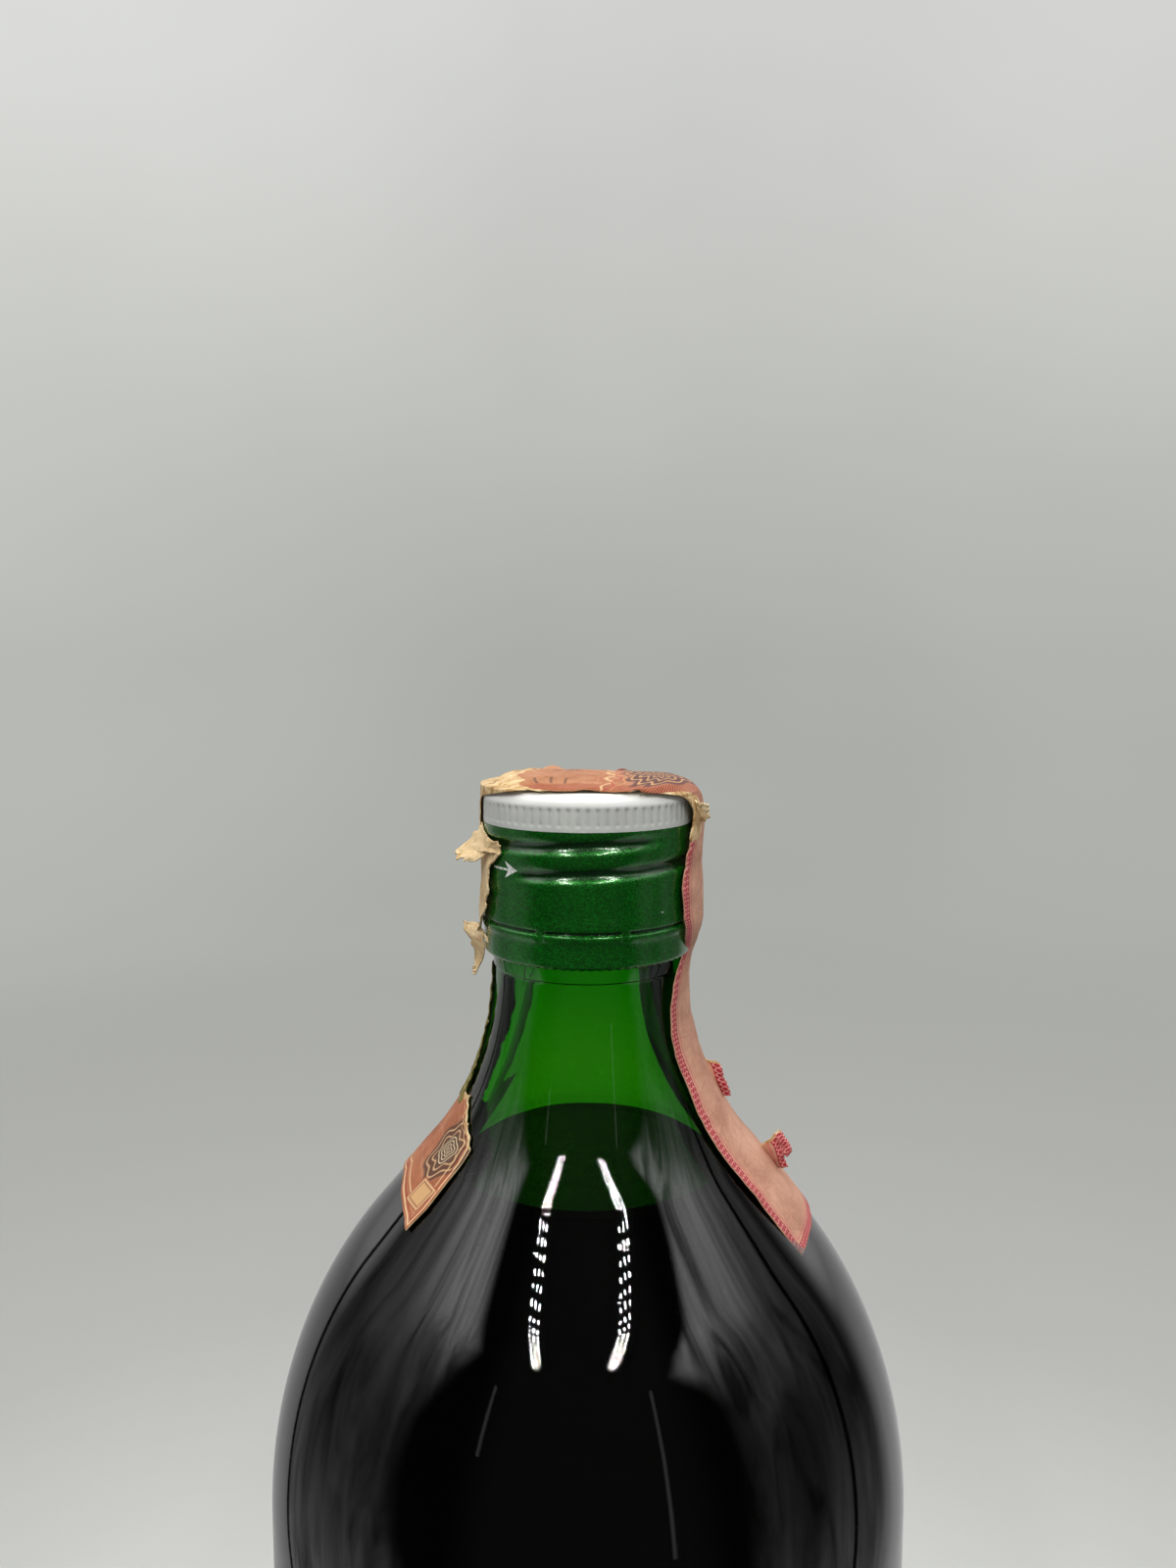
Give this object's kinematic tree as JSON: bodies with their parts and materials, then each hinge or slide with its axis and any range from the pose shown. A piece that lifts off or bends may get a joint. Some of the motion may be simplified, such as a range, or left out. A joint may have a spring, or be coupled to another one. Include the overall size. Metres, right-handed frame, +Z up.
{
  "type": "bottle of herbal liqueur",
  "caption": "Filled green glass spirits bottle with a long rounded shoulder, a green roll-on screw cap with a white grip band and a torn paper tax strip over the cap.",
  "frame": {"origin": "middle of the bottle's base, on the ground", "axes": "+Z up along the bottle's axis, -Y is the front, so the whole right end of the paper strip is at +X and its torn left end at -X"},
  "size_m": [0.0974, 0.0974, 0.2403],
  "materials": {
    "green_bottle_glass": "moulded soda-lime bottle glass, bright green",
    "dark_liqueur": "clear dark brown drink, near black in this depth",
    "lacquered_aluminium": "green metallic lacquer on the skirt, white lacquer on the top and grip band",
    "printed_strip_paper": "salmon security paper with an engraved red and violet pattern, bare tan fibres where torn"
  },
  "bodies": {
    "root": {"bottle_glass": "green_bottle_glass", "herbal_liqueur": "dark_liqueur", "screw_cap": "lacquered_aluminium", "tax_strip_over_cap": "printed_strip_paper", "tax_strip_left_shoulder": "printed_strip_paper"}
  },
  "joints": []
}
